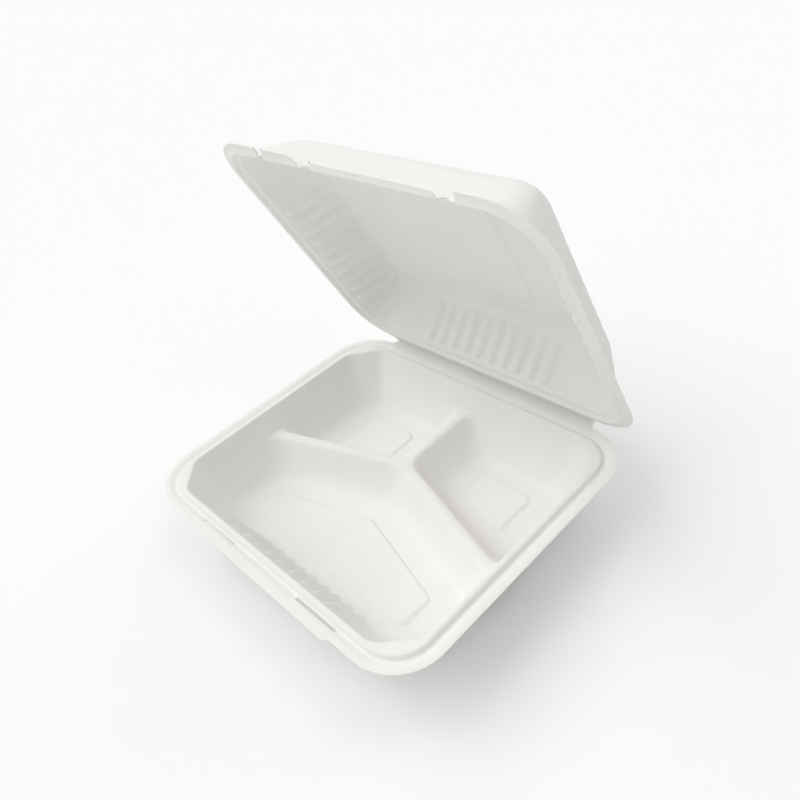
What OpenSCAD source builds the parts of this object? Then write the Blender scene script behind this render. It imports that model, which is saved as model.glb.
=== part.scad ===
// Hinged takeaway box molded from plant fiber, with three compartments, shown standing open.
// Base and lid are one molded sheet that bends at the crease between them.
// Origin: middle of the foot on the table. X runs along the hinge, Y from front to hinge, Z up.

/* [Rim] */
// Outside width of the rim, along the hinge
rim_w = 200; // [180:1:240]
// Outside depth of the rim, from the front to the hinge side
rim_d = 174; // [165:1:210]
// Corner radius of the rim's outer edge
rim_r = 27; // [22:1:34]
// Thickness of the molded sheet
sheet_t = 0.8; // [0.6:0.1:1.2]
// Width of the flat lip at the rim's outer edge
lip_w = 4.2; // [3.5:0.1:6]
// Depth of the groove inside the base's lip
groove_h = 1.6; // [1:0.1:2.4]
// Width of the floor of that groove
groove_w = 1.3; // [1:0.1:2]
// Height of the raised bead inside the groove, above the lip
bead_h = 0.8; // [0.4:0.1:1.4]

/* [Base] */
// Height of the base from foot to lip
base_h = 33; // [28:1:45]
// Draft of the base's walls, from the vertical
base_draft = 25; // [15:1:28]
// Cut across each corner of the base's mouth
mouth_cut = 16; // [12:1:20]
// Radius of the fillet between the base's walls and floor
floor_r = 6; // [4:0.5:9]
// Depth of the divider's crest below the lip
crest_h = 12; // [9:0.5:16]
// Width of the divider just below its crest
crest_w = 5.6; // [5:0.1:8]
// Place of the divider's fork, back from the middle of the box
fork_y = 16.8; // [8:0.2:24]
// Sweep of the divider's two front arms, from the X direction
arm_sweep = 18.5; // [10:0.5:25]
// Height of the raised pads in the compartment floors
pad_h = 1.2; // [0.6:0.1:2]
// Floor left clear between a pad and the side walls or the divider
pad_gap = 11; // [8:0.5:14]
// Floor left clear between a pad and the front or back wall
pad_gap_y = 6.5; // [4:0.5:9]

/* [Lid] */
// Height of the lid above its lip
lid_h = 31; // [24:1:42]
// Draft of the lid's walls, from the vertical
lid_draft = 30; // [18:1:32]
// Radius of the edge round the lid's top
lid_edge_r = 10; // [6:0.5:13]
// Width of the panel pressed into the lid's top, along the hinge
panel_w = 72; // [50:1:90]
// Depth of that panel, from front to back
panel_d = 82; // [50:1:90]
// How far the panel is pressed in
panel_h = 1; // [0.5:0.1:2]
// Opening of the lid from shut, as it stands
open_angle = 64.5; // [0:0.5:180]

/* [Flutes] */
// Number of flutes in each fluted wall
flute_n = 10; // [6:1:11]
// Spacing of the flutes
flute_pitch = 9.6; // [8:0.1:10.2]
// Depth of a flute
flute_h = 1.3; // [0.6:0.1:2]

/* [Closure] */
// Width of the hinge strip between rim and crease
hinge_strip = 3.5; // [2.5:0.1:6]
// Gap between lid and base when shut, and across the crease
fit_gap = 0.3; // [0.25:0.05:0.5]
// Width of the slits in the base's groove
slit_w = 1.6; // [1:0.1:2]
// Length of each slit
slit_l = 27; // [18:1:32]
// Middle of the left slit
slit_left = -33.5; // [-40:0.5:-28]
// Middle of the right slit
slit_right = 43.5; // [35:0.5:48]
// Width of the finger tab on the base's front lip
tab_w = 114; // [100:1:130]
// How far the finger tab stands out from the lip
tab_out = 2.1; // [1:0.1:4]
// How far the lid's lip is cut back over the finger tab
trim_d = 2.4; // [1:0.1:3]

/* [Hidden] */

seam = 0.12;                               // step where two skins of one wall overlap
half_w = rim_w / 2;
half_d = rim_d / 2;
groove_in = lip_w + 1;                     // insets from the rim's outer edge
bead_in = groove_in + groove_w + 1.2;
mouth_in = bead_in + 2.8;
lid_in = bead_in + 1.7;
skew = 0.55 * sheet_t;                     // side shift that keeps the sheet even on slopes
floor_h = base_h - sheet_t;                // depth of the floor below the lip
crease_y = half_d + hinge_strip;
crease_z = base_h + fit_gap / 2;
lid_z = base_h + fit_gap;                  // underside of the shut lid's lip
strip_w = rim_w - 2 * rim_r;

// A side of an outline is [direction of its outward normal, distance from the origin].
function moved(s, by) = [s[0], s[1] - by];
function meet(a, b) = [a[1] * sin(b[0]) - b[1] * sin(a[0]),
                       b[1] * cos(a[0]) - a[1] * cos(b[0])] / sin(b[0] - a[0]);

// Outline of a convex shape given by its sides, with a radius at the end of each side.
// The sides listed in fluted carry the flutes, rib deep. A flute's points have a fourth value.
function outline(sides, radii, z, fluted = [], rib = 0, arcs = 4) =
    [for (i = [0:len(sides) - 1])
        let (j = (i + 1) % len(sides), a = sides[i], b = sides[j], r = radii[i],
             c = meet(moved(a, r), moved(b, r)), turn = b[0] - a[0] + (j == 0 ? 360 : 0))
        each concat(
            [for (k = [0:arcs]) let (w = a[0] + turn * k / arcs)
                [c.x + r * cos(w), c.y + r * sin(w), z]],
            [for (s = fluted) if (s == j) for (f = [1:flute_n], e = [-0.36, 0, 0.36])
                let (at = (f - (flute_n + 1) / 2 + e) * flute_pitch, d = b[1] - (e == 0 ? rib : 0))
                [d * cos(b[0]) - at * sin(b[0]), d * sin(b[0]) + at * cos(b[0]), z, f]])];
function unfluted(ring) = [for (j = [0:len(ring) - 1]) if (len(ring[j]) == 3) j];

// Solid skin over a stack of outlines, capped at both ends or closed on itself.
// An outer face lists its outlines downward, the face of a hollow upward.
// A fluted outline joins a plain one along whole sides.
module loft(rings) {
    m = len(rings);
    first = [for (i = 0, at = 0; i < m; at = at + len(rings[i]), i = i + 1) at];
    polyhedron(
        points = [for (r = rings, p = r) [p.x, p.y, p.z]],
        faces = concat(
            [for (i = [0:m - 2])
                let (p = first[i], q = first[i + 1], n = len(rings[i]), o = len(rings[i + 1]),
                     u = unfluted(rings[i]), v = unfluted(rings[i + 1]), last = len(u) - 1)
                each n == o
                    ? [for (j = [0:n - 1], k = [(j + 1) % n]) each [[p + j, p + k, q + k], [p + j, q + k, q + j]]]
                    : [for (j = [0:last]) concat(
                        [for (e = [u[j]:j == last ? n : u[j + 1]]) p + e % n],
                        [for (e = [j == last ? o : v[j + 1]:-1:v[j]]) q + e % o])]],
            [[for (j = [len(rings[0]) - 1:-1:0]) j],
             [for (j = [0:len(rings[m - 1]) - 1]) first[m - 1] + j]]),
        convexity = 10);
}

// Box outline at an inset from the rim's edge, each corner cut off and then rounded.
function box_sides(inset, cut) =
    let (w = half_w - inset, d = half_d - inset, c = (w + d - cut) / sqrt(2))
    [[0, w], [45, c], [90, d], [135, c], [180, w], [225, c], [270, d], [315, c]];
function box_ring(inset, z, cut, r, fluted = [], rib = 0) =
    outline(box_sides(inset, cut), [for (i = [0:7]) r], z, fluted, rib);
// The cut that makes a corner a true quarter circle.
function round_ring(inset, z, r, fluted = [], rib = 0) =
    box_ring(inset, z, (2 - sqrt(2)) * r, r, fluted, rib);

// The base. Inset of the drafted wall at a depth h below the lip; out moves it to the sheet's outer skin.
function wall_in(h, out) = mouth_in + h * tan(base_draft) - out / cos(base_draft);
function wall_ring(h, out, rib = 0, fluted = [6]) =
    box_ring(wall_in(h, out) - seam, base_h - h, mouth_cut, 5, fluted, rib);

// Rim and upper walls, down to the level of the divider's crest.
module upper_bowl() {
    top = [[0, 0], [lip_w, 0], [groove_in, -groove_h], [groove_in + groove_w, -groove_h],
           [bead_in, bead_h - 0.3], [bead_in + 1, bead_h], [bead_in + 1.9, bead_h - 0.4]];
    under = [[0, 0], [lip_w - skew, 0], [groove_in - skew, -groove_h],
             [groove_in + groove_w + skew, -groove_h], [bead_in + skew, bead_h - 0.3],
             [bead_in + 1, bead_h - 0.1]];
    loft(concat(
        [wall_ring(crest_h, 0, flute_h), wall_ring(5.5, 0, flute_h), wall_ring(2.5, 0),
         wall_ring(0.4, 0, 0, [])],
        [for (i = [len(top) - 1:-1:0]) round_ring(top[i][0], base_h + top[i][1], rim_r - top[i][0])],
        [for (p = under) round_ring(p[0], base_h + p[1] - sheet_t, rim_r - p[0])],
        [wall_ring(2.5, sheet_t), wall_ring(5.5, sheet_t, flute_h),
         wall_ring(crest_h + sheet_t, sheet_t, flute_h)]));
}

// Half the divider's width at a depth h: round crest, then drafted flanks.
function divider_half(h) =
    let (k = h - crest_h, w = crest_w / 2)
    k < 0 ? w - 2.2 : k < 0.5 ? w - 1.2 : k < 1.5 ? w - 0.4 : w + (k - 2) * tan(base_draft);

// Sides of the front compartment and of the back one on the +X side, at a depth h.
// move shifts every side inward.
function front_sides(h, move) =
    let (w = half_w - wall_in(h, 0) - move, d = half_d - wall_in(h, 0) - move,
         c = (w + d - mouth_cut) / sqrt(2), a = fork_y * cos(arm_sweep) - divider_half(h) - move)
    [[0, w], [90 - arm_sweep, a], [90 + arm_sweep, a], [180, w], [225, c], [270, d], [315, c]];
function back_sides(h, move) =
    let (w = half_w - wall_in(h, 0) - move, d = half_d - wall_in(h, 0) - move,
         c = (w + d - mouth_cut) / sqrt(2), own = divider_half(h) + move)
    [[0, w], [45, c], [90, d], [180, -own], [270 - arm_sweep, -fork_y * cos(arm_sweep) - own]];

function cup_ring(front, h, move, rib = 0, fluted = [5]) =
    front ? outline(front_sides(h, move), [9, 16, 9, 5, 5, 5, 5], base_h - h, fluted, rib)
          : outline(back_sides(h, move), [5, 5, 7, 8, 8], base_h - h);

// Sides of a pad, from the sides of its compartment's floor.
function pad_sides(front, more) =
    let (h = floor_h - floor_r, m = floor_r / cos(base_draft), s = front ? front_sides(h, m) : back_sides(h, m),
         g = pad_gap + more, gy = pad_gap_y + more)
    front ? [moved(s[0], g), moved(s[1], g), moved(s[2], g), moved(s[3], g), moved(s[5], gy)]
          : [moved(s[0], g), moved(s[2], gy), moved(s[3], g), moved(s[4], gy)];
module pad(front, low, high, more) {
    r = [for (i = [0:4]) 5];
    hull() loft([outline(pad_sides(front, more), r, low), outline(pad_sides(front, more + 0.6), r, high)]);
}

// One compartment: its hollow, or with out > 0 the outer skin of its sheet.
module cup(front, out) {
    bend = [for (k = [0:3]) base_draft + (90 - base_draft) * k / 3];
    mid = floor_h - floor_r;
    flank = crest_h + 2.4;
    skin = -out / cos(base_draft);
    difference() {
        loft(concat(
            out > 0 ? [cup_ring(front, crest_h + 0.6, skin, flute_h)]
                    : [cup_ring(front, crest_h - 0.1, 0, flute_h), cup_ring(front, crest_h + 0.3, 0, flute_h)],
            [for (h = [crest_h + 1, flank, mid - 3]) cup_ring(front, h, skin, flute_h)],
            [for (a = bend)
                let (r = floor_r + out, h = mid + r * sin(a),
                     edge = wall_in(mid, 0) + floor_r / cos(base_draft) - r * cos(a))
                cup_ring(front, h, edge - wall_in(h, 0), 0, a == base_draft ? [5] : [])]));
        if (out > 0) pad(front, -1, pad_h, 0.5);
        else pad(front, sheet_t / 2, sheet_t + pad_h, 0);
    }
}
module each_cup(out) {
    cup(true, out);
    for (side = [0, 1]) mirror([side, 0, 0]) cup(false, out);
}

module base_tray() {
    color("white") difference() {
        union() {
            upper_bowl();
            each_cup(sheet_t);
            translate([-strip_w / 2, half_d - 2, base_h - sheet_t])
                cube([strip_w, hinge_strip + 2 - fit_gap / 2, sheet_t]);
            translate([0, -half_d, base_h - sheet_t]) linear_extrude(sheet_t)
                polygon([[-tab_w / 2, 2], [-tab_w / 2, 0], [4 - tab_w / 2, -tab_out],
                         [tab_w / 2 - 4, -tab_out], [tab_w / 2, 0], [tab_w / 2, 2]]);
        }
        each_cup(0);
        for (x = [slit_left, slit_right]) hull() for (e = [-0.5, 0.5])
            translate([x + e * (slit_l - slit_w), groove_in + groove_w / 2 - half_d, base_h - 2 * groove_h - sheet_t])
                cylinder(d = slit_w, h = 3 * groove_h + sheet_t, $fn = 16);
    }
}

// The lid, drawn shut.
function lid_round(inset) = rim_r - lid_in - 0.3 * (inset - lid_in);
function lid_ring(inset, z, rib = 0, fluted = [0, 2, 4]) =
    round_ring(inset, lid_z + z, lid_round(inset), fluted, rib);

// One skin of the round top edge and the fluted walls, from the top down; out moves it outward.
function lid_skin(out) =
    let (z0 = bead_h + 0.9, zc = lid_h - lid_edge_r, r = lid_edge_r - sheet_t + out,
         edge = lid_in + (zc - z0) * tan(lid_draft) + (lid_edge_r - sheet_t) / cos(lid_draft))
    concat([for (k = [4:-1:1]) let (a = lid_draft + (90 - lid_draft) * k / 4)
                lid_ring(edge - r * cos(a), zc + r * sin(a), 0, [])],
           [lid_ring(edge - r * cos(lid_draft), zc + r * sin(lid_draft))],
           [for (p = [[zc - 1, 0.8], [zc - 5, 1], [z0 + 5, 1], [z0 + 2, 0], [z0 + 0.5, -1]])
                lid_ring(lid_in + (p[0] - z0) * tan(lid_draft) - out / cos(lid_draft), p[0],
                         max(0, p[1]) * flute_h, p[1] < 0 ? [] : [0, 2, 4])]);

// The sheet of the lid. Its rim has a flat lip, a bead that drops into the base's groove and
// a step over the base's bead.
module lid_sheet() {
    under = [[0, 0], [lip_w + 0.2, 0], [groove_in + 0.2, 0.05 - groove_h],
             [groove_in + groove_w - 0.2, 0.05 - groove_h], [bead_in - 0.1, bead_h + 0.05],
             [bead_in + 1.1, bead_h + 0.2]];
    top = [[0, 0], [lip_w + 0.2 + skew, 0], [groove_in + groove_w / 2, 0.1 - groove_h],
           [bead_in - 0.1 - skew, bead_h + 0.05], [bead_in + 1.1 - skew, bead_h + 0.2]];
    inner = lid_skin(0);
    loft(concat(
        lid_skin(sheet_t),
        [for (i = [len(top) - 1:-1:0])
            round_ring(top[i][0], lid_z + top[i][1] + sheet_t, rim_r - top[i][0])],
        [for (p = under) round_ring(p[0], lid_z + p[1], rim_r - p[0])],
        [for (i = [len(inner) - 1:-1:0]) inner[i]]));
}

module panel(low, high, less) {
    function ring(z, by) = outline([[0, panel_w / 2 - by], [90, panel_d / 2 - by],
                                    [180, panel_w / 2 - by], [270, panel_d / 2 - by]],
                                   [8, 8, 8, 8], lid_z + z);
    hull() loft([ring(low, less), ring(high, 0)]);
}

// Notches in the front rim as [left end at the edge, left end at the root, right end].
notches = [[-59, -59, -54], [-35.5, -24, -19.5], [48.5, 56, 63]];
module notch(n) {
    module side(x, root_x) hull() for (p = [[x, -1.5], [root_x, bead_in - 0.15]])
        translate(p) circle(r = 1, $fn = 16);
    translate([0, -half_d, lid_z - groove_h - 1]) linear_extrude(groove_h + bead_h + sheet_t + 1.4)
        hull() { side(n[0] + 1, n[1] + 1); side(n[2] - 1, n[2] - 1); }
}

module lid() {
    color("white")
    translate([0, crease_y, crease_z]) rotate([-open_angle, 0, 0]) translate([0, -crease_y, -crease_z])
    difference() {
        union() {
            lid_sheet();
            panel(lid_h - sheet_t - panel_h, lid_h - sheet_t / 2, 0.8);
            translate([-strip_w / 2, half_d - 2, lid_z])
                cube([strip_w, hinge_strip + 2 - fit_gap / 2, sheet_t]);
        }
        panel(lid_h - panel_h, lid_h + 1, 1.4);
        for (n = notches) notch(n);
        translate([notches[1][2] - 1.5, -half_d - 1, lid_z - 1])
            cube([notches[2][1] - notches[1][2], 1 + trim_d, sheet_t + 2]);
    }
}

base_tray();
lid();
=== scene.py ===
import bpy
import bmesh
import math
from mathutils import Matrix, Vector


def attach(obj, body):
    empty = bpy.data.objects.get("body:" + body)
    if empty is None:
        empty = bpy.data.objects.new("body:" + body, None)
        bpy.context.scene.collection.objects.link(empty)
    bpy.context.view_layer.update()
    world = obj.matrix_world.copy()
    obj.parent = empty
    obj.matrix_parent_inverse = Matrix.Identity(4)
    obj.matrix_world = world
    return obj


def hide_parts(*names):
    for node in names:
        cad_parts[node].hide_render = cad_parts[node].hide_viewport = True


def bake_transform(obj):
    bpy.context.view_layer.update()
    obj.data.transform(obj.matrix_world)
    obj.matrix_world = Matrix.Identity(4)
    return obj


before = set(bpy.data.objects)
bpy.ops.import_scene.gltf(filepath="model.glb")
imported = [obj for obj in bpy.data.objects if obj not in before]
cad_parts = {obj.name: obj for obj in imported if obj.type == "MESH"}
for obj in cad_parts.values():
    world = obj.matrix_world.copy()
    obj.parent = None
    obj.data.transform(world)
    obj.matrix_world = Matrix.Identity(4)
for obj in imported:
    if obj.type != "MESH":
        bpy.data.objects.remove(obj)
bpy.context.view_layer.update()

mm = 0.001

# rim and hinge, in millimetres, as the frame has them
rim = {
    "halfW": 100.0, "halfD": 87.0, "radius": 27.0, "sheet": 0.8,
    "lipZ": 33.0, "lidGap": 0.3, "creaseY": 90.5, "creaseZ": 33.15, "openAngle": 64.5,
    "stripHalf": 73.0, "stripOut": 3.35,
}


def smoothMin(a, b, k):
    h = max(k - abs(a - b), 0.0) / k
    return min(a, b) - h * h * k * 0.25


def smoothMax(a, b, k):
    return -smoothMin(-a, -b, k)


def ramp(x, low, high):
    t = min(max((x - low) / (high - low), 0.0), 1.0)
    return t * t * (3.0 - 2.0 * t)


def band(x, low, high, soft):
    return ramp(x, low - soft, low + soft) * (1.0 - ramp(x, high - soft, high + soft))


def rimInset(x, y):
    # distance in from the rim's round-cornered outline
    r = rim["radius"]
    ax = abs(x) - (rim["halfW"] - r)
    ay = abs(y) - (rim["halfD"] - r)
    if ax > 0 and ay > 0:
        return r - math.hypot(ax, ay)
    return r - max(ax, ay)


def profile(points, d):
    # height of a rim section at inset d
    if d <= points[0][0]:
        return points[0][1]
    for (x0, z0), (x1, z1) in zip(points, points[1:]):
        if d <= x1:
            t = (d - x0) / (x1 - x0)
            return z0 + (z1 - z0) * t
    return points[-1][1]


def softProfile(points, d, reach=0.55):
    # the same section with its corners rounded
    total = 0.0
    for k in (-2, -1, 0, 1, 2):
        total += profile(points, d + k * reach * 0.5) * (3 - abs(k))
    return total / 9.0


def sheetLines(half, insets, middle):
    # places of the grid's lines across one side: close at the rim, even in the middle
    edge = [half - d for d in insets]
    inner = edge[-1]
    steps = max(2, round(2 * inner / middle))
    lines = [-e for e in edge]
    lines += [-inner + 2 * inner * k / steps for k in range(1, steps)]
    lines += edge[::-1]
    return lines


def rimGrid(insets, middle):
    # flat sheet whose outer lines follow the round-cornered rim
    xs = sheetLines(rim["halfW"], insets, middle)
    ys = sheetLines(rim["halfD"], insets, middle)
    nx, ny = len(xs) - 1, len(ys) - 1
    bm = bmesh.new()
    bmesh.ops.create_grid(bm, x_segments=nx, y_segments=ny, size=1.0)
    for v in bm.verts:
        i = round((v.co.x + 1) / 2 * nx)
        j = round((v.co.y + 1) / 2 * ny)
        x, y = xs[i], ys[j]
        k = min(i, nx - i, j, ny - j)
        d = insets[min(k, len(insets) - 1)]
        r = rim["radius"] - d
        if k < len(insets) and r > 0:
            w, h = rim["halfW"] - d, rim["halfD"] - d
            ax, ay = abs(x) - (w - r), abs(y) - (h - r)
            if ax > 0 and ay > 0:
                turn = math.pi / 4 * (ay / r if ax >= ay else 2 - ax / r)
                x = math.copysign(w - r + r * math.cos(turn), x)
                y = math.copysign(h - r + r * math.sin(turn), y)
        v.co = (x, y, 0.0)
    return bm


def cutSheet(bm, box, planes):
    # cuts the flat sheet along the planes and drops what lies inside all of them
    low, high = box

    def near():
        faces = []
        for f in bm.faces:
            c = f.calc_center_median()
            if low[0] < c.x < high[0] and low[1] < c.y < high[1]:
                faces.append(f)
        edges = {e for f in faces for e in f.edges}
        verts = {v for f in faces for v in f.verts}
        return faces, list(verts) + list(edges) + faces
    for point, normal in planes:
        bmesh.ops.bisect_plane(bm, geom=near()[1], plane_co=Vector((*point, 0)),
                               plane_no=Vector((*normal, 0)), dist=0.0005)
    gone = []
    for f in near()[0]:
        c = f.calc_center_median()
        if all((c.x - p[0]) * n[0] + (c.y - p[1]) * n[1] < 0 for p, n in planes):
            gone.append(f)
    bmesh.ops.delete(bm, geom=gone, context="FACES")


def refine(bm, test, cuts, along=None):
    # splits the flat sheet's faces where test holds, in both directions or only along one
    edges = set()
    for f in bm.faces:
        c = f.calc_center_median()
        if test(c.x, c.y):
            for e in f.edges:
                run = e.verts[1].co - e.verts[0].co
                if along is None or abs(run.dot(along)) > 0.8 * run.length:
                    edges.add(e)
    bmesh.ops.subdivide_edges(bm, edges=list(edges), cuts=cuts, use_grid_fill=True)


def thicken(bm, thickness):
    # turns the sheet's faces up and gives it its thickness
    bmesh.ops.recalc_face_normals(bm, faces=bm.faces[:])
    if sum(f.normal.z * f.calc_area() for f in bm.faces) < 0:
        bmesh.ops.reverse_faces(bm, faces=bm.faces[:])
    bmesh.ops.solidify(bm, geom=bm.faces[:], thickness=thickness)


def makeObject(bm, name, sharp=48):
    # scales the finished mesh to metres and makes the object
    bmesh.ops.recalc_face_normals(bm, faces=bm.faces[:])
    bmesh.ops.scale(bm, vec=(mm, mm, mm), verts=bm.verts[:])
    mesh = bpy.data.meshes.new(name)
    bm.to_mesh(mesh)
    bm.free()
    mesh.shade_smooth()
    mesh.set_sharp_from_angle(angle=math.radians(sharp))
    piece = bpy.data.objects.new(name, mesh)
    bpy.context.scene.collection.objects.link(piece)
    print(name, "faces", len(mesh.polygons), "verts", len(mesh.vertices))
    return piece


# insets of the grid's lines from the rim's edge: close over the rim, wider down the walls
rimInsets = [0, 0.35, 0.9, 1.6, 2.4, 3.1, 3.6, 4.0, 4.35, 4.7, 5.0, 5.3, 5.6, 5.9, 6.2, 6.5, 6.8,
             7.1, 7.4, 7.7, 8.0, 8.3, 8.7, 9.1, 9.5, 9.9, 10.3, 10.7, 11.1, 11.6, 12.1, 12.7, 13.3]
wallStep = 0.72
rimInsets += [rimInsets[-1] + wallStep * k for k in range(1, 24)]

# base
base = {
    "rim": [[0, -0.25], [0.6, 0], [3.2, 0], [6.0, -1.5], [6.7, -1.6], [7.5, 0.3], [8.3, 0.75],
            [10.0, 0.8], [14, 0.7]],
    "mouthIn": 10.4, "mouthCut": 16.0, "draft": 25.0, "depth": 32.2, "fillet": 8.2, "corner": 3.0,
    "crest": 12.0, "crestHalf": 2.8, "crestRound": 0.7, "forkY": 16.8, "sweep": 18.5, "joint": 9.0,
    "flutePitch": 9.4, "fluteDeep": 3.0, "fluteCount": 10, "fluteShift": -1.0,
    "fluteRun": [0.5, 7.0, 20.5, 1.3],   # start, growth and end down the wall, slimness
    "padHigh": 1.2, "tabHalf": 57.0, "tabOut": 2.1,
    "slits": [[-47.0, -20.0], [30.0, 57.0]], "slitY": 5.1, "slitHalf": 1.0,
}


def flute(t, d, pitch, count, start, grow, end, slim):
    # round ridges side by side with a nose at both ends; t runs along the wall, d in from its rim
    k = t / pitch + count / 2
    if k < 0 or k > count:
        return 0.0
    f = abs((k % 1.0) - 0.5) * 2
    nose = 1.6 * f * f
    rise = ramp(d, start + nose, start + grow + nose)
    fall = 1 - ramp(d, end - 2.6 - nose, end - nose)
    return math.cos(f * math.pi / 2) ** slim * rise * fall


def dividerLine(x, y):
    s = math.radians(base["sweep"])
    soft = math.sqrt(x * x + 36.0) - 6.0
    return (y - (base["forkY"] - math.tan(s) * soft)) * math.cos(s)


pads = {
    "half": 60.0, "corner": 5.0, "bend": 3.0,
    "front": -51.0, "frontPeak": -12.0, "frontNormal": (17.5, 58.0),
    "back": 51.5, "backInner": 27.0, "backLow": 30.5, "backNormal": (-8.5, -33.0),
}


def padDistance(x, y):
    # distance inside the nearest raised pad, in the floors of the compartments
    ax = abs(x)
    large = smoothMin(pads["half"] - ax, y - pads["front"], pads["corner"])
    nx, ny = pads["frontNormal"]
    slant = (-ax * nx + (pads["frontPeak"] - y) * ny) / math.hypot(nx, ny)
    large = smoothMin(large, slant, pads["bend"])
    small = smoothMin(pads["half"] - ax, ax - pads["backInner"], pads["corner"])
    small = smoothMin(small, pads["back"] - y, pads["corner"])
    nx, ny = pads["backNormal"]
    slant = ((pads["backInner"] - ax) * nx + (pads["backLow"] - y) * ny) / math.hypot(nx, ny)
    small = smoothMin(small, slant, pads["bend"])
    return max(large, small)


def baseHeight(x, y):
    d = rimInset(x, y)
    w = rim["halfW"] - base["mouthIn"]
    h = rim["halfD"] - base["mouthIn"]
    dx, dy = w - abs(x), h - abs(y)
    dc = (w + h - base["mouthCut"] - abs(x) - abs(y)) / math.sqrt(2)
    slope = 1 / math.tan(math.radians(base["draft"]))   # height gained for each step inward
    if y < 0 and abs(x) < 60:
        dy -= base["fluteDeep"] * flute(x - base["fluteShift"], dy, base["flutePitch"],
                                        base["fluteCount"], *base["fluteRun"])
    s = smoothMin(smoothMin(dx, dy, 3.0), dc, base["corner"])
    z = softProfile(base["rim"], d)
    if d < 8.5:
        return z
    z = smoothMin(z, 0.7 - s * slope, 0.9)
    # the compartments, from the level of the divider's crest down
    inner = s - base["crest"] / slope
    a = dividerLine(x, y)
    half = base["crestHalf"]
    frontCup = smoothMin(inner, -a - half, base["joint"])
    backCup = smoothMin(smoothMin(inner, a - half, base["joint"] - 1), abs(x) - half, base["joint"] - 1)
    c = max(frontCup, backCup)
    low = -base["crest"] - slope * 0.5 * (c + math.sqrt(c * c + base["crestRound"]))
    floor = -base["depth"] + base["padHigh"] * ramp(padDistance(x, y), -0.55, 0.55)
    low = smoothMax(low, floor, base["fillet"])
    return smoothMax(z, low, 0.2 + 1.8 * ramp(-c, -0.5, 2.0))


print("base sheet")
bm = rimGrid(rimInsets, 1.35)
front = -rim["halfD"]
foot = front + base["mouthIn"]
across = Vector((1, 0, 0))
refine(bm, lambda x, y: abs(x) < 50 and foot < y < foot + 22, 2, across)
refine(bm, lambda x, y: abs(padDistance(x, y)) < 1.3, 1)
refine(bm, lambda x, y: abs(dividerLine(x, y)) < 5 and abs(x) < 82 or abs(x) < 5 and 10 < y < 72, 1)
for x0, x1 in base["slits"]:
    y0 = front + base["slitY"]
    w = base["slitHalf"]
    cutSheet(bm, ((x0 - 4, y0 - 3), (x1 + 4, y0 + 3)),
             [((x0, y0), (-1, 0)), ((x1, y0), (1, 0)), ((x0, y0 - w), (0, -1)), ((x0, y0 + w), (0, 1))])
bm.normal_update()
for v in bm.verts:
    x, y = v.co.x, v.co.y
    d = rimInset(x, y)
    z = rim["lipZ"] + baseHeight(x, y)
    if d < 2.8 and y < 0 and abs(x) < 72:
        y -= base["tabOut"] * band(x, -base["tabHalf"], base["tabHalf"], 1.6) * (1 - d / 2.8)
    if d < 2.8 and y > 0 and abs(x) < 78:
        y += rim["stripOut"] * band(x, -rim["stripHalf"], rim["stripHalf"], 1.2) * (1 - d / 2.8)
    v.co = (x, y, z)
thicken(bm, rim["sheet"])
print("lowest point", min(v.co.z for v in bm.verts))
baseShell = makeObject(bm, "base_shell")
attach(baseShell, "base")
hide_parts("base_tray")

# lid, shaped shut and then turned open about the crease
lid = {
    "rim": [[0, 0.1], [0.5, 0], [3.0, 0], [5.0, -1.2], [5.8, -1.3], [7.1, 1.0], [9.0, 1.5]],
    "wallIn": 9.3, "wallZ": 1.7, "draft": 30.0, "top": 30.2, "edge": 10.0,
    "panelX": 36.0, "panelY": 41.0, "panelIn": 1.0, "flutePitch": 9.1, "fluteDeep": 2.7, "fluteCount": 10,
    "sideShift": 14.0, "backShift": 2.0, "sideRun": [0.3, 4.5, 18.0, 2.0], "backRun": [0.3, 4.5, 16.0, 2.0],
    "notches": [[-59.0, -59.0, -54.0], [-35.5, -24.0, -19.5], [48.5, 56.0, 63.0]], "notchRoot": 8.4,
    "trim": [-19.5, 56.0, 2.3],
}


def lidHeight(x, y):
    d = rimInset(x, y)
    dx = rim["halfW"] - abs(x) - lid["wallIn"]
    dy = rim["halfD"] - abs(y) - lid["wallIn"]
    ring = d - lid["wallIn"]
    pitch, count = lid["flutePitch"], lid["fluteCount"]
    fl = flute(y - lid["sideShift"], dx, pitch, count, *lid["sideRun"])
    if abs(x) < 60 and y > 0:
        fl = max(fl, flute(x - lid["backShift"], dy, pitch, count, *lid["backRun"]))
    deep = smoothMin(dx, dy, max(4.0, 17.6 - 0.3 * max(min(dx, dy), 0.0)))
    t = ramp(ring, 0.0, 8.0)
    s = ring * (1 - t) + deep * t - lid["fluteDeep"] * fl
    slope = 1 / math.tan(math.radians(lid["draft"]))
    wall = lid["wallZ"] + s * slope
    z = softProfile(lid["rim"], d) if d < 9.0 else smoothMax(softProfile(lid["rim"], d), wall, 0.8)
    z = smoothMin(z, lid["top"], lid["edge"])
    inside = smoothMin(lid["panelX"] - abs(x), lid["panelY"] - abs(y), 9.0)
    return z - lid["panelIn"] * ramp(inside, -0.8, 0.8)


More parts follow.
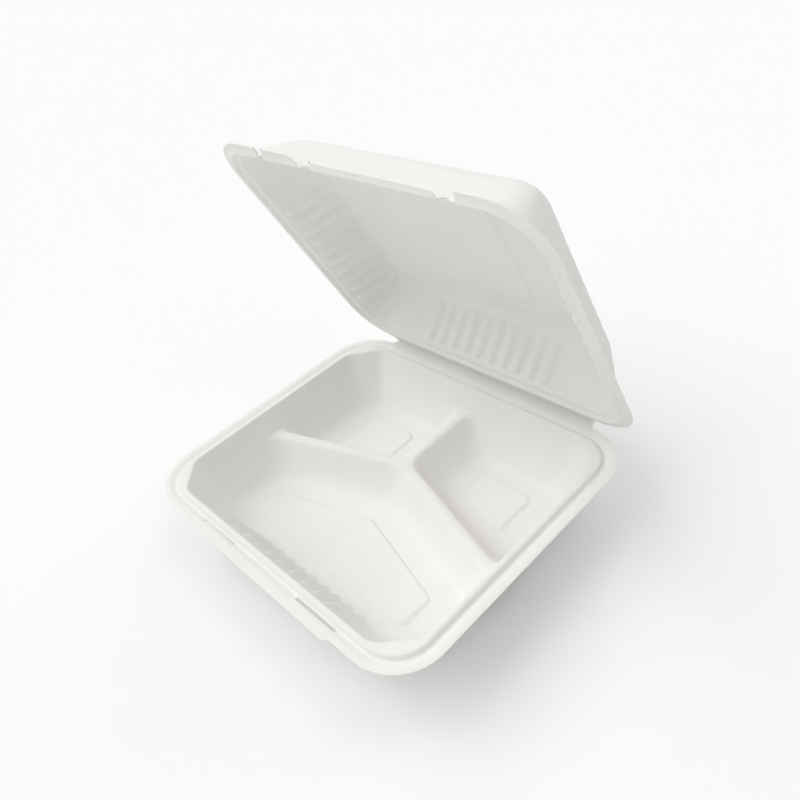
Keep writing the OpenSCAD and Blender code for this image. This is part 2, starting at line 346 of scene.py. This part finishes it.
print("lid sheet")
bm = rimGrid(rimInsets, 1.6)
inset = lid["wallIn"]
back, side = rim["halfD"] - inset, rim["halfW"] - inset
refine(bm, lambda x, y: abs(x) < 50 and back - 19 < y < back, 2, across)
refine(bm, lambda x, y: abs(y - lid["sideShift"]) < 48 and side - 19 < abs(x) < side, 2, Vector((0, 1, 0)))
root = front + lid["notchRoot"]
for x0, xRoot, x1 in lid["notches"]:
    lean = Vector((lid["notchRoot"], x0 - xRoot)).normalized()
    cutSheet(bm, ((x0 - 4, front - 1), (x1 + 4, root + 3)),
             [((x0, front), (-lean.x, -lean.y)), ((x1, front), (1, 0)), ((x0, root), (0, 1))])
turn = Matrix.Rotation(math.radians(-rim["openAngle"]), 4, "X")
crease = Vector((0, rim["creaseY"], rim["creaseZ"]))
for v in bm.verts:
    x, y = v.co.x, v.co.y
    d = rimInset(x, y)
    z = rim["lipZ"] + rim["lidGap"] + lidHeight(x, y)
    if d < 3.0 and y < 0 and abs(x) < 80:
        t0, t1, deep = lid["trim"]
        y += deep * band(x, t0, t1, 0.2) * (1 - d / 3.0)
    if d < 2.8 and y > 0 and abs(x) < 78:
        y += rim["stripOut"] * band(x, -rim["stripHalf"], rim["stripHalf"], 1.2) * (1 - d / 2.8)
    v.co = (x, y, z)
thicken(bm, -rim["sheet"])
bmesh.ops.transform(bm, matrix=Matrix.Translation(crease) @ turn @ Matrix.Translation(-crease),
                    verts=bm.verts[:])
lidShell = makeObject(bm, "lid_shell")
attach(lidShell, "lid")
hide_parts("lid")

# crease between the two strips
creaseStrip = {"half": 72.0, "thick": 0.5, "reach": 1.6, "middle": 0.35, "bulge": 0.75}
print("crease")
opened = math.radians(rim["openAngle"])
up = rim["lidGap"] / 2 + 0.4   # middle of the lid's sheet above the crease
mid = rim["lipZ"] - 0.4        # middle of the base's sheet


def creasePoint(x, u, onLid):
    # point of the strip at a distance u from the crease, on the base's or the lid's side
    if not onLid:
        return Vector((x, rim["creaseY"] - u, mid))
    y = rim["creaseY"] - u * math.cos(opened) + up * math.sin(opened)
    return Vector((x, y, rim["creaseZ"] + u * math.sin(opened) + up * math.cos(opened)))


bm = bmesh.new()
bmesh.ops.create_grid(bm, x_segments=96, y_segments=16, size=1.0)
for v in bm.verts:
    x, along = v.co.x * creaseStrip["half"], v.co.y
    p = creasePoint(x, creaseStrip["reach"] * abs(along), along > 0)
    if abs(along) < creaseStrip["middle"]:
        t = (along + creaseStrip["middle"]) / (2 * creaseStrip["middle"])
        u = creaseStrip["middle"] * creaseStrip["reach"]
        p1 = Vector((x, rim["creaseY"] + creaseStrip["bulge"], rim["creaseZ"] - 0.1))
        p = (creasePoint(x, u, False) * (1 - t) ** 2 + p1 * 2 * t * (1 - t)
             + creasePoint(x, u, True) * t * t)
    v.co = p
bmesh.ops.solidify(bm, geom=bm.faces[:], thickness=creaseStrip["thick"])
creasePiece = makeObject(bm, "crease_fold")
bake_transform(creasePiece)


# molded fiber
def fiberGroup():
    group = bpy.data.node_groups.new("pressedFiber", "ShaderNodeTree")
    sockets = group.interface
    sockets.new_socket("Color", in_out="INPUT", socket_type="NodeSocketColor")
    sockets.new_socket("Mottle", in_out="INPUT", socket_type="NodeSocketFloat")
    sockets.new_socket("Fleck", in_out="INPUT", socket_type="NodeSocketFloat")
    sockets.new_socket("Color", in_out="OUTPUT", socket_type="NodeSocketColor")
    sockets.new_socket("Roughness", in_out="OUTPUT", socket_type="NodeSocketFloat")
    sockets.new_socket("Height", in_out="OUTPUT", socket_type="NodeSocketFloat")
    nodes, links = group.nodes, group.links
    inputs = nodes.new("NodeGroupInput")
    outputs = nodes.new("NodeGroupOutput")
    coord = nodes.new("ShaderNodeTexCoord")

    def noise(scale, detail, rough, stretch=(1, 1, 1), turned=(0, 0, 0)):
        place = nodes.new("ShaderNodeMapping")
        place.inputs["Scale"].default_value = stretch
        place.inputs["Rotation"].default_value = turned
        tex = nodes.new("ShaderNodeTexNoise")
        tex.inputs["Scale"].default_value = scale
        tex.inputs["Detail"].default_value = detail
        tex.inputs["Roughness"].default_value = rough
        links.new(coord.outputs["Object"], place.inputs["Vector"])
        links.new(place.outputs["Vector"], tex.inputs["Vector"])
        return tex.outputs["Fac"]

    def math2(kind, a, b):
        node = nodes.new("ShaderNodeMath")
        node.operation = kind
        for k, value in enumerate((a, b)):
            if isinstance(value, (int, float)):
                node.inputs[k].default_value = value
            else:
                links.new(value, node.inputs[k])
        return node.outputs[0]

    cloud = noise(28, 3, 0.55)
    grain = noise(900, 4, 0.65)
    hairA = noise(260, 2, 0.5, (1, 7, 3), (0.3, 0.2, 0.6))
    hairB = noise(260, 2, 0.5, (7, 1, 3), (0.2, -0.4, 0.2))
    hairC = noise(240, 2, 0.5, (3, 3, 8), (0.7, 0.5, 1.1))
    hair = math2("MAXIMUM", math2("MAXIMUM", hairA, hairB), hairC)
    fleck = math2("GREATER_THAN", noise(420, 2, 0.5, (1, 2.4, 1), (0.5, 0.9, 0.1)), 0.735)
    tone = math2("ADD", math2("MULTIPLY", math2("SUBTRACT", cloud, 0.5), inputs.outputs["Mottle"]),
                 math2("MULTIPLY", math2("SUBTRACT", grain, 0.5), math2("MULTIPLY", inputs.outputs["Mottle"], 0.5)))
    tone = math2("SUBTRACT", tone, math2("MULTIPLY", fleck, inputs.outputs["Fleck"]))
    bright = nodes.new("ShaderNodeHueSaturation")
    links.new(inputs.outputs["Color"], bright.inputs["Color"])
    links.new(math2("ADD", 1.0, tone), bright.inputs["Value"])
    links.new(bright.outputs["Color"], outputs.inputs["Color"])
    links.new(math2("ADD", 0.78, math2("MULTIPLY", grain, 0.2)), outputs.inputs["Roughness"])
    height = math2("ADD", math2("MULTIPLY", hair, 0.6), math2("MULTIPLY", grain, 0.4))
    links.new(height, outputs.inputs["Height"])
    return group


def fiberMaterial(name, group, color, mottle, fleck, bump):
    material = bpy.data.materials.new(name)
    material.use_nodes = True
    nodes, links = material.node_tree.nodes, material.node_tree.links
    shader = nodes["Principled BSDF"]
    pulp = nodes.new("ShaderNodeGroup")
    pulp.node_tree = group
    pulp.inputs["Color"].default_value = (*color, 1)
    pulp.inputs["Mottle"].default_value = mottle
    pulp.inputs["Fleck"].default_value = fleck
    bumpNode = nodes.new("ShaderNodeBump")
    bumpNode.inputs["Strength"].default_value = bump
    bumpNode.inputs["Distance"].default_value = 0.0004
    links.new(pulp.outputs["Color"], shader.inputs["Base Color"])
    links.new(pulp.outputs["Roughness"], shader.inputs["Roughness"])
    links.new(pulp.outputs["Height"], bumpNode.inputs["Height"])
    links.new(bumpNode.outputs["Normal"], shader.inputs["Normal"])
    shader.inputs["Specular IOR Level"].default_value = 0.35
    return material


fiber = {"color": (0.88, 0.87, 0.845), "mottle": 0.07, "fleck": 0.05, "bump": 0.35}
pressedFiber = fiberGroup()
baseFiber = fiberMaterial("baseFiber", pressedFiber, **fiber)
lidFiber = fiberMaterial("lidFiber", pressedFiber, **fiber)
baseShell.data.materials.append(baseFiber)
creasePiece.data.materials.append(baseFiber)
lidShell.data.materials.append(lidFiber)
for name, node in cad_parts.items():
    node.data.materials.clear()
    node.data.materials.append(baseFiber if name == "base_tray" else lidFiber)

# floor, lamps and camera
stage = {
    "floorColor": (0.93, 0.93, 0.93), "world": 0.24,
    # each lamp: where its light comes from, its strength, its spread in degrees
    "lamps": {
        "softLeft": [(-0.64, 0.0, 0.77), 0.5, 50.0],
        "softFrontLeft": [(-0.45, -0.45, 0.77), 0.95, 50.0],
        "softFront": [(0.0, -0.64, 0.77), 0.25, 50.0],
        "softRight": [(0.64, 0.0, 0.77), 0.5, 50.0],
        "softBack": [(0.0, 0.64, 0.77), 0.75, 50.0],
        "lowLeft": [(-0.9, 0.0, 0.42), 0.4, 50.0],
        "lowFront": [(0.0, -0.9, 0.42), 0.2, 50.0],
    },
}
print("stage")
bm = bmesh.new()
bmesh.ops.create_grid(bm, x_segments=1, y_segments=1, size=6.0)
floorMesh = bpy.data.meshes.new("floor")
bm.to_mesh(floorMesh)
bm.free()
floor = bpy.data.objects.new("floor", floorMesh)
bpy.context.scene.collection.objects.link(floor)
floorMaterial = bpy.data.materials.new("floorPaper")
floorMaterial.use_nodes = True
floorShader = floorMaterial.node_tree.nodes["Principled BSDF"]
floorShader.inputs["Base Color"].default_value = (*stage["floorColor"], 1)
floorShader.inputs["Roughness"].default_value = 1.0
floorShader.inputs["Specular IOR Level"].default_value = 0.0
floorMesh.materials.append(floorMaterial)

world = bpy.data.worlds.new("studio")
bpy.context.scene.world = world
world.use_nodes = True
nodes, links = world.node_tree.nodes, world.node_tree.links
sky = nodes["Background"]
sky.inputs["Color"].default_value = (1, 1, 1, 1)
sky.inputs["Strength"].default_value = stage["world"]
backdrop = nodes.new("ShaderNodeBackground")   # plain white where the camera looks past the floor
backdrop.inputs["Color"].default_value = (1, 1, 1, 1)
rays = nodes.new("ShaderNodeLightPath")
mix = nodes.new("ShaderNodeMixShader")
links.new(rays.outputs["Is Camera Ray"], mix.inputs["Fac"])
links.new(sky.outputs["Background"], mix.inputs[1])
links.new(backdrop.outputs["Background"], mix.inputs[2])
links.new(mix.outputs["Shader"], nodes["World Output"].inputs["Surface"])

for name, (source, strength, spread) in stage["lamps"].items():
    lamp = bpy.data.lights.new(name, "SUN")
    lamp.energy = strength
    lamp.angle = math.radians(spread)
    holder = bpy.data.objects.new(name, lamp)
    holder.rotation_euler = (-Vector(source)).to_track_quat("-Z", "Y").to_euler()
    bpy.context.scene.collection.objects.link(holder)

view = {
    "place": (233.928, -165.621, 300.187),
    "right": (0.67229, 0.71633, -0.1868), "down": (0.33681, -0.52068, -0.7845),
    "ahead": (-0.65923, 0.4645, -0.59132), "focal": 731.585, "centre": (356.18, 381.75),
}
cameraData = bpy.data.cameras.new("camera")
camera = bpy.data.objects.new("camera", cameraData)
bpy.context.scene.collection.objects.link(camera)
right, down, ahead = (Vector(view[k]) for k in ("right", "down", "ahead"))
turned = Matrix((right, -down, -ahead)).transposed().to_4x4()
camera.matrix_world = Matrix.Translation(Vector(view["place"]) * mm) @ turned
cameraData.sensor_width = 36
cameraData.sensor_fit = "HORIZONTAL"
cameraData.lens = view["focal"] / 800 * 36
cameraData.shift_x = (400 - view["centre"][0]) / 800
cameraData.shift_y = (view["centre"][1] - 400) / 800
cameraData.clip_start = 0.01
bpy.context.scene.camera = camera
bpy.context.scene.view_settings.view_transform = "Standard"
